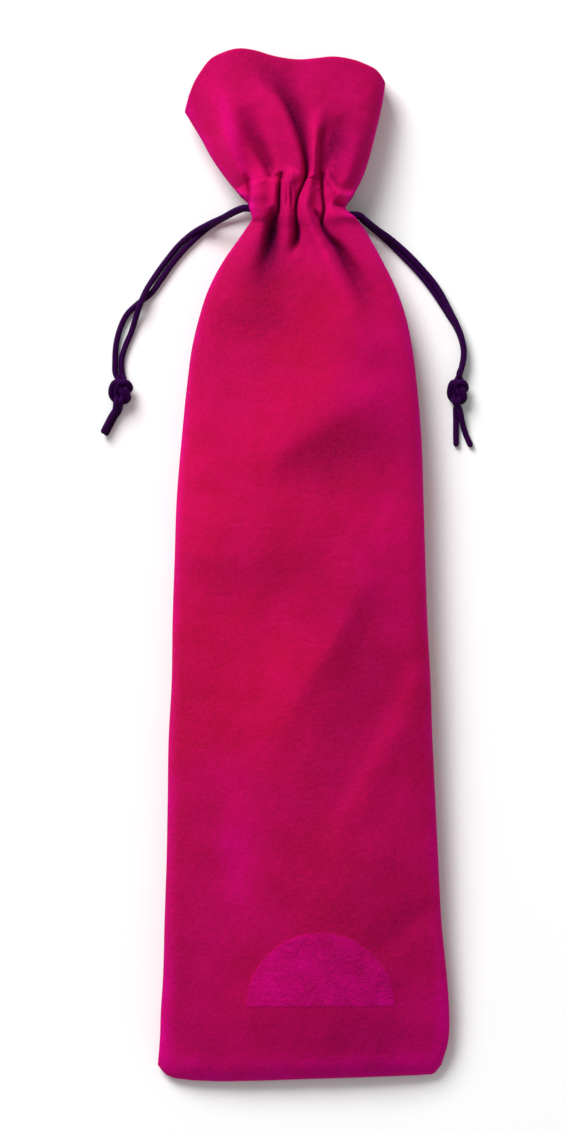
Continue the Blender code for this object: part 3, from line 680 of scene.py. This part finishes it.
# Strokes of painted shade and painted highlight on the pile, beside the body's long folds and along the
# creases and ridges, written like the folds, with the change for the height
painted_shading_strokes = (
    ((52, 50, 13, -0.04), (28, 50, 14, -0.14), (5, 47, 13, -0.14), (-14, 37, 10, 0)),
    ((-50, 20, 7, 0.03), (50, 19, 7, 0.05)),
    ((-56, -9, 9, -0.04), (-20, -9, 9, -0.05), (12, -8, 9, 0)),
    ((10, -20, 10, 0), (0, -42, 12, 0.06), (-14, -66, 10, 0)),
    ((34, 4, 3, 14, -0.04), (26, -10, 2, 22, -0.09), (20, -21, 1.6, 28, -0.11),
     (15, -34, 1.8, 32, -0.12), (6, -48, 2, 34, -0.11), (-1, -61, 2.5, 32, -0.09),
     (-8, -76, 3.5, 28, -0.07), (-13, -90, 5, 26, -0.06), (-13, -110, 7, 18, -0.05),
     (-10, -130, 8, 16, 0)),
    ((38, 76, 3, 14, 0), (26, 66, 2.5, 16, -0.08), (12, 58, 2.5, 17, -0.11), (-3, 49, 3, 15, -0.11),
     (-15, 38, 4, 10, 0)),
    ((54, -36, 5, 0), (48, -48, 5, 0.15), (41, -65, 5, 0.18), (27, -93, 5, 6, 0.16),
     (14, -120, 7, 0.08), (4, -150, 8, 0)),
    ((-78, 0, 12, 3, -0.02), (-50, 1, 14, 3, -0.07), (-32, 0, 14, 3, -0.05), (-14, -2, 12, 4, 0)),
    ((46, -118, 10, 12, 0), (40, -130, 12, 14, -0.06), (24, -150, 12, -0.05), (10, -170, 10, 0)),
    ((-16, -206, 10, -0.06), (30, -208, 10, -0.06)),
    ((-18, 122, 9, -0.06), (-14, 104, 10, -0.08), (-20, 92, 8, -0.04)),
    ((-6, 84, 7, 0), (14, 80, 8, 0.06), (30, 72, 7, 0.03)),
    ((-30, -98, 7, 0), (-31, -118, 7, 8, 0.12), (-29, -140, 8, 7, 0.12), (-31, -160, 7, 0)),
    # Painted shade in and beside the creases of the neck and the ruffle, and painted highlights on the
    # ridges beside them
    ((-13, 155, 3, -0.2), (-14, 148, 4, 3.5, -0.45), (-15, 141, 6, 5, -0.42), (-17, 130, 7, 8, -0.2),
     (-20, 112, 9, 10, 0)),
    ((-3, 152, 2, 1.5, -0.2), (-3.2, 144, 2.2, 2, -0.35), (-5, 137, 3, 0)),
    ((9, 151, 1.5, 3, -0.15), (12, 144, 1.5, 4.5, -0.35), (17, 136, 1.6, 5, -0.32),
     (23, 126, 2, 6, -0.22), (29, 114, 3, 7, -0.1), (34, 102, 5, 8, 0)),
    ((-22, 224, 4, 5, -0.04), (-15, 213, 4, 6, -0.16), (-8.5, 204, 2.5, 6, -0.18),
     (-3, 193, 1.5, 4, -0.1)),
    ((20, 204, 5, 6, 0), (16, 195, 4, 7, -0.18), (12, 186, 1.5, 9, -0.38), (10, 177, 1.5, 7, -0.2)),
    ((-37, 214, 4, 0), (-35, 204, 3.5, 0.2), (-33.5, 195, 3, 0.28), (-30, 183, 2.5, 0.25),
     (-25, 172, 2, 0.15)),
    ((6, 204, 3, 0), (4.6, 190, 2.5, 0.15), (4.2, 176, 2, 0.12)),
    ((-22.5, 170, 1.6, 0.1), (-22.4, 164, 1.5, 0.2), (-22, 155, 1.5, 0.1)),
    ((11, 168, 4, 0), (17, 163, 4, 0.3), (22, 157, 4, 0)),
    ((-27, 200, 4, 0), (-24, 194, 3.5, -0.16), (-19, 183, 3, -0.16), (-16, 175, 2, -0.1)),
    ((38, 216, 8, 9, 0), (37, 205, 8, 9, -0.12), (35, 196, 7, 8, 0)),
    ((6, 143, 2, 0.1), (11, 133, 2.5, 0.14), (17, 122, 4, 0.16), (25, 109, 6, 0.06), (34, 96, 7, 0)),
)
# Where it shines magenta: painted magenta sheen, together with the pile's own mottled magenta tone
magenta_sheen_and_tone_spots = (
    (-52, 210, 0.35), (-5, 215, 0.30), (-5, 190, 0.32), (16, 220, 0.42), (40, 200, 0.28),
    (-26, 180, 0.36), (28, 166, 0.70), (0, 150, 0.30), (0, 165, 0.40), (-48, 90, 0.20), (0, 110, 0.06),
    (46, 80, 0.50), (-54, 20, 0.12), (-4, 20, 0.13), (6, 50, 0.14), (50, 10, 0.34), (-58, -60, 0.06),
    (-5, -60, 0.06), (16, -60, 0.26), (14, -100, 0.28), (54, -60, 0.24), (-31, -120, 0.45),
    (-55, -130, 0.05), (-5, -130, 0.05), (18, -145, 0.22), (57, -130, 0.36), (-31, -145, 0.48),
    (-62, -215, 0.40), (-16, -188, 0.28), (40, -178, 0.28), (62, -205, 0.70), (0, -229, 0.45),
    (-35, -229, 0.45), (40, -227, 0.6),
)
# Strokes on the front that shine magenta: painted sheen along ridges of the ruffle and the neck and on
# the body, and brushed pile low on the left
painted_sheen_strokes = (
    ((-30, -108, 7, 0), (-31, -120, 8, 0.28), (-29, -138, 7, 0.22), (-32, -160, 7, 0)),
    ((-54, -196, 10, 0), (-50, -208, 10, 0.1), (-36, -214, 8, 0)),
    ((-37, 214, 4, 0), (-33.5, 195, 3, 0.3), (-30, 183, 3, 0.3), (-25, 172, 2, 0.1)),
    ((-22.5, 170, 2, 0.3), (-22.4, 164, 2, 0.25), (-22, 155, 2, 0.2)),
    ((10, 142, 4, 0), (16, 128, 5, 0.14), (26, 106, 7, 0.1), (36, 88, 8, 0)),
)


def crimson_velvet(name, brushed_patch):
    """Short cotton velvet, mottled: its crimson goes from dark to bright with the nap and painted light
    and shade, and towards magenta with painted sheen and its own tone.
    """
    velvet = Finish(name)
    nap_and_painted_shading = velvet.node("ShaderNodeAttribute", {"attribute_name": "nap_and_painted_shading"}, "Fac")
    magenta_sheen_and_tone = velvet.node("ShaderNodeAttribute", {"attribute_name": "magenta_sheen_and_tone"}, "Fac")
    surface = velvet.node("ShaderNodeUVMap", {"uv_map": "surface"})
    stretched = velvet.node("ShaderNodeVectorMath", {"operation": "MULTIPLY"}, Vector=surface)
    stretched.socket.node.inputs[1].default_value = (1.0, 1.3, 1.0)
    clouds = velvet.noise(Vector=surface, Scale=60.0, Detail=5.0, Roughness=0.6)
    streaks = velvet.noise(Vector=stretched, Scale=300.0, Detail=5.0, Roughness=0.75)
    tufts = velvet.noise(Vector=surface, Scale=620.0, Detail=4.0, Roughness=0.8)
    # Brightness of the pile: its nap together with the painted light and shade carried in the attribute,
    # mottled by the noises
    shade = nap_and_painted_shading * (0.62 + clouds * 0.40 + streaks * 0.36)
    shade = shade + (tufts - 0.5) * (1.30 - nap_and_painted_shading * 0.85)
    # How magenta the cloth is: painted sheen together with the pile's own tone, mottled by the noises
    magenta_sheen_and_tone = magenta_sheen_and_tone + (clouds - 0.5) * 0.5 + (streaks - 0.5) * 0.3 + (tufts - 0.5) * 0.4
    pile = streaks * 0.5 + tufts * 0.45
    # Painted sheen: lighter and more magenta round the edges, where the cloth is seen sideways on, and
    # along the bottom edge
    across, along, _ = velvet.parts(surface)
    half = flat_width / 2000
    turned = ((across - half) / half).size().between(0.84, 0.95)
    turned = 1 - (1 - turned) * along.between(0.006, 0.018)
    shade = shade + turned * (tufts * 0.4 + clouds * 0.2)
    magenta_sheen_and_tone = magenta_sheen_and_tone + turned * clouds
    # A half-round patch near the bottom, where the pile is ruffled
    if brushed_patch:
        patch_x, patch_y, patch_radius, edge = 0.0073, -0.1956, 0.0327, 0.0006
        x, y, _ = velvet.parts(velvet.node("ShaderNodeTexCoord", {}, "Object"))
        off_x, off_y = x - patch_x, y - patch_y
        away = (off_x * off_x + off_y * off_y).root() + (streaks - 0.5) * 0.003
        patch = (1 - away.between(patch_radius - edge, patch_radius + edge)) * off_y.between(
            -edge, edge
        )
        worn = velvet.noise(Vector=surface, Scale=110.0, Detail=6.0, Roughness=0.7)
        worms = velvet.noise(Vector=surface, Scale=260.0, Detail=3.0, Distortion=1.4)
        ridges = 1 - ((worms - 0.5) * 6.0).size().between(0.0, 1.0)
        shade = shade + patch * ((worn - 0.5) * 0.9 + ridges * 0.07 + 0.12)
        magenta_sheen_and_tone = magenta_sheen_and_tone + patch * ((worn - 0.5) * 0.9 + 0.46)
        pile = pile + patch * (ridges * 0.3 + worn * 0.5)
    # Crimson from dark to bright as the shade rises, its dark end the colour of painted shade in the
    # creases; and a magenta for painted sheen, mixed in where the cloth shines magenta
    painted_shade_crimson = velvet.mix(shade.between(0.0, 1.2), (0.036, 0.0002, 0.017, 1), (0.61, 0.0040, 0.061, 1))
    painted_sheen_magenta = velvet.mix(shade.between(0.0, 1.2), (0.036, 0.0002, 0.021, 1), (0.60, 0.0005, 0.195, 1))
    velvet.set(
        Base_Color=velvet.mix(magenta_sheen_and_tone.between(0.0, 1.0), painted_shade_crimson, painted_sheen_magenta),
        Roughness=0.9,
        Specular_IOR_Level=0.04,
        Sheen_Weight=0.22,
        Sheen_Roughness=0.35,
        Sheen_Tint=(0.95, 0.0, 0.42, 1),
        Normal=velvet.bump(pile, 0.0009, 0.6),
    )
    return velvet.material


panel_parts = ("bottom", "body", "shoulder", "channel", "ruffle")
for side, face in (("front", 1), ("back", -1)):
    panel = velvet_panel(f"{side}_panel", face, crimson_velvet(f"{side}_velvet", face > 0))
    nodes = [f"{side}_panel_{part}" for part in panel_parts]
    add_piece(panel, "bag", "crimson_velvet", *nodes, f"{side}_facing")

# ------------------------------------------------------------
# Stitching: crimson thread in short stitches, two rows round the neck, which close the channel
# above and below the cords. They pull down into the pile.

stitch_pitch, stitch_length, thread = 0.0028, 0.0021, 0.0005
stitch_sunk, stitch_lowest = 0.38, 0.2  # millimetres into the pile, and above the table
row_margin = 8  # columns of the cloth between a row's end and the side seam

thread_finish = Finish("crimson_thread")
twist = thread_finish.noise(Scale=2400.0, Detail=2.0)
thread_finish.set(
    Base_Color=thread_finish.mix(twist, (0.22, 0.0005, 0.035, 1), (0.46, 0.002, 0.085, 1)),
    Roughness=0.8,
    Specular_IOR_Level=0.05,
    Sheen_Weight=0.1,
    Sheen_Tint=(0.95, 0.0, 0.4, 1),
    Normal=thread_finish.bump(twist, 0.0001, 0.5),
)
crimson_thread = thread_finish.material


def sewing_tree(name, add_shape):
    """A node tree that lays one shape along a line, at an even pitch, turned to follow it."""
    tree = bpy.data.node_groups.new(name, "GeometryNodeTree")
    for socket, kind in (
        ("Line", "Geometry"), ("Pitch", "Float"), ("Length", "Float"), ("Thread", "Float"),
        ("Finish", "Material"),
    ):
        tree.interface.new_socket(socket, in_out="INPUT", socket_type=f"NodeSocket{kind}")
    tree.interface.new_socket("Geometry", in_out="OUTPUT", socket_type="NodeSocketGeometry")
    nodes = tree.nodes
    inputs, result = nodes.new("NodeGroupInput"), nodes.new("NodeGroupOutput")
    line = nodes.new("GeometryNodeMeshToCurve")
    spaced = nodes.new("GeometryNodeResampleCurve")
    spaced.mode = "LENGTH"
    placed = nodes.new("GeometryNodeInstanceOnPoints")
    heading = nodes.new("GeometryNodeInputTangent")
    turned = nodes.new("FunctionNodeAlignRotationToVector")
    turned.axis = "Z"
    real = nodes.new("GeometryNodeRealizeInstances")
    painted = nodes.new("GeometryNodeSetMaterial")
    for source, output, target, slot in (
        (inputs, "Line", line, "Mesh"),
        (line, "Curve", spaced, "Curve"),
        (inputs, "Pitch", spaced, "Length"),
        (spaced, "Curve", placed, "Points"),
        (heading, "Tangent", turned, "Vector"),
        (turned, "Rotation", placed, "Rotation"),
        (placed, "Instances", real, "Geometry"),
        (real, "Geometry", painted, "Geometry"),
        (inputs, "Finish", painted, "Material"),
        (painted, "Geometry", result, "Geometry"),
    ):
        tree.links.new(source.outputs[output], target.inputs[slot])
    tree.links.new(add_shape(tree, inputs), placed.inputs["Instance"])
    return tree


def running_stitch(tree, inputs):
    """A stitch: a drop of thread as long as the stitch shows, pointed where it goes in."""
    drop = tree.nodes.new("GeometryNodeMeshUVSphere")
    drop.inputs["Segments"].default_value = 8
    drop.inputs["Rings"].default_value = 6
    drop.inputs["Radius"].default_value = 0.5
    size = tree.nodes.new("ShaderNodeCombineXYZ")
    shaped = tree.nodes.new("GeometryNodeTransform")
    for axis, name in (("X", "Thread"), ("Y", "Thread"), ("Z", "Length")):
        tree.links.new(inputs.outputs[name], size.inputs[axis])
    tree.links.new(drop.outputs["Mesh"], shaped.inputs["Geometry"])
    tree.links.new(size.outputs["Vector"], shaped.inputs["Scale"])
    return shaped.outputs["Geometry"]


def sew(name, tree, line, pitch, length, thickness):
    """The stitches along a line in metres, as a plain mesh."""
    path = bpy.data.meshes.new(name + "_line")
    path.from_pydata(line, [(k, k + 1) for k in range(len(line) - 1)], [])
    seam = add_object(name + "_line", path)
    sewing = seam.modifiers.new("sewing", "NODES")
    sewing.node_group = tree
    values = {"Pitch": pitch, "Length": length, "Thread": thickness, "Finish": crimson_thread}
    for item in tree.interface.items_tree:
        if item.name in values:
            sewing[item.identifier] = values[item.name]
    depsgraph = bpy.context.evaluated_depsgraph_get()
    data = bpy.data.meshes.new_from_object(seam.evaluated_get(depsgraph))
    bpy.data.objects.remove(seam)
    data.name = name
    data.shade_smooth()
    return add_object(name, data)


stitches = sewing_tree("running_stitches", running_stitch)
stitching = {"front": [], "back": []}
for side, face in (("front", 1), ("back", -1)):
    for place, y in (("lower", lower_stitch), ("upper", upper_stitch)):
        row = evenly(panel_section(y, face), columns)[row_margin:-row_margin]
        row[:, 2] = np.maximum(row[:, 2] - stitch_sunk * face, stitch_lowest)
        node = f"{side}_channel_{place}_stitching"
        piece = sew(f"sewn_{node}", stitches, row / 1000, stitch_pitch, stitch_length, thread)
        add_piece(piece, "bag", "crimson_thread", node)
        stitching[side].append(piece)

# ------------------------------------------------------------
# Inside the seams: the panels' edges, sewn together 7 mm in and left standing inside the bag,
# with overlock thread looped round each raw edge so that the velvet doesn't fray.

loop_pitch, loop_size, loop_thread = 0.0022, 0.0018, 0.0004
allowance_half, allowance_thick = 0.0034, 0.0009  # half the width and height of a side one


def overlock_loop(tree, inputs):
    """One loop of thread round the raw edge, leaning a little along it."""
    path = tree.nodes.new("GeometryNodeCurvePrimitiveCircle")
    path.inputs["Resolution"].default_value = 10
    section = tree.nodes.new("GeometryNodeCurvePrimitiveCircle")
    section.inputs["Resolution"].default_value = 5
    half_length, half_thread = (tree.nodes.new("ShaderNodeMath") for _ in range(2))
    for half, name, target in ((half_length, "Length", path), (half_thread, "Thread", section)):
        half.operation = "MULTIPLY"
        half.inputs[1].default_value = 0.5
        tree.links.new(inputs.outputs[name], half.inputs[0])
        tree.links.new(half.outputs[0], target.inputs["Radius"])
    swept = tree.nodes.new("GeometryNodeCurveToMesh")
    tree.links.new(path.outputs["Curve"], swept.inputs["Curve"])
    tree.links.new(section.outputs["Curve"], swept.inputs["Profile Curve"])
    leaning = tree.nodes.new("GeometryNodeTransform")
    leaning.inputs["Rotation"].default_value = (0.35, 0.0, 0.0)
    leaning.inputs["Scale"].default_value = (1.6, 1.0, 1.0)
    tree.links.new(swept.outputs["Mesh"], leaning.inputs["Geometry"])
    return leaning.outputs["Geometry"]


def allowance_strip(name, finish):
    """Two raw edges of velvet, one on the other, a little wavy, inside their CAD node's box."""
    low, high = (np.array(corner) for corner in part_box(name))
    long_axis = int(np.argmax(high - low))
    cross = 1 - long_axis
    upright = long_axis == 1  # a side seam's, not the bottom's
    count, around = 80, 12
    points = []
    for t in np.linspace(0, 1, count + 1):
        centre = (low + high) / 2
        centre[long_axis] = low[long_axis] + (high - low)[long_axis] * t
        if upright:
            centre[0], centre[2] = allowance_centre(name, centre[1])
            half = allowance_half
        else:
            half = (high - low)[cross] / 2 * 0.8
            centre[1] += 0.0016
        thick = (allowance_thick if upright else (high - low)[2] / 2) * 0.95
        wave = 0.0002 * math.sin(t * 61) * upright
        for k in range(around):
            turn = 2 * math.pi * k / around
            point = centre.copy()
            point[cross] += half * math.copysign(abs(math.cos(turn)) ** 0.5, math.cos(turn))
            point[2] += thick * math.copysign(abs(math.sin(turn)) ** 0.5, math.sin(turn)) + wave
            points.append(point)
    faces = []
    for row in range(count):
        for k in range(around):
            after = (k + 1) % around
            a, b = row * around, (row + 1) * around
            face = (a + k, a + after, b + after, b + k)
            faces.append(face if upright else face[::-1])
    first = tuple(range(around))
    last = tuple(count * around + k for k in range(around))
    faces += [first[::-1], last] if upright else [first, last[::-1]]
    return mesh_piece(f"sewn_{name}", points, faces, finish)


def ring_middles(name, axis, reach):
    """The places along an axis where a CAD node has its rings of points, and their middles."""
    points = np.array([v.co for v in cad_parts[name].data.vertices])
    places = np.unique(np.round(points[:, axis], 5))
    rings = [points[np.abs(points[:, axis] - place) < reach] for place in places]
    return places, np.array([ring.mean(axis=0) for ring in rings])


def allowance_centre(name, y):
    """Where a side seam's allowance lies across the bag, and how high, at a place along it."""
    places, middles = ring_middles(name, 1, 1e-4)
    return np.interp(y, places, middles[:, 0]), np.interp(y, places, middles[:, 2])


plain_velvet = Finish("allowance_velvet")
nap_noise = plain_velvet.noise(Scale=900.0, Detail=3.0)
plain_velvet.set(
    Base_Color=plain_velvet.mix(nap_noise, (0.20, 0.002, 0.035, 1), (0.5, 0.005, 0.09, 1)),
    Roughness=0.9,
    Sheen_Weight=0.25,
    Sheen_Tint=(0.95, 0.02, 0.42, 1),
    Normal=plain_velvet.bump(nap_noise, 0.0005, 0.5),
)
loops = sewing_tree("overlock_loops", overlock_loop)
inside_pieces = []
for seam in ("left", "right", "bottom"):
    strip = allowance_strip(f"{seam}_seam_allowance", plain_velvet.material)
    add_piece(strip, "bag", "crimson_velvet", f"{seam}_seam_allowance")
    _, line = ring_middles(f"{seam}_overlock_thread", 0 if seam == "bottom" else 1, 2e-4)
    piece = sew(f"sewn_{seam}_overlock_thread", loops, line, loop_pitch, loop_size, loop_thread)
    add_piece(piece, "bag", "crimson_thread", f"{seam}_overlock_thread")
    inside_pieces += [strip, piece]

# ------------------------------------------------------------
# The table: a wide plain sheet of white board. A large soft lamp stands at the upper left, and
# the room is bright all round, so that the shadows fall softly to the lower right.

board_half = 6.0
board_top = -0.0001  # a hair under the bag and the cords, which lie at 0
corner_signs = ((-1, -1), (1, -1), (1, 1), (-1, 1))
board_corners = [(x * board_half, y * board_half, board_top) for x, y in corner_signs]
white_board = Finish("white_board")
grain = white_board.noise(Scale=3.0, Detail=2.0)
white_board.set(
    Base_Color=white_board.mix(grain, (0.90, 0.90, 0.90, 1), (0.92, 0.92, 0.92, 1)), Roughness=0.95
)
board = mesh_piece("table", board_corners, [(0, 1, 2, 3)], white_board.material)

# A square lamp that faces the middle of the bag and that the camera doesn't see
window_light = bpy.data.lights.new("window", "AREA")
window_light.size = 2.3
window_light.energy = 280.0
window = add_object("window", window_light)
window.location = (-1.85, 3.15, 2.75)
window.rotation_euler = (-window.location).to_track_quat("-Z", "Y").to_euler()
window.visible_camera = False

room = bpy.data.worlds.new("room")
room.use_nodes = True
glow = room.node_tree.nodes["Background"].inputs
glow["Color"].default_value = (1.0, 1.0, 1.0, 1)
glow["Strength"].default_value = 0.42
bpy.context.scene.world = room
bpy.context.scene.view_settings.view_transform = "Standard"
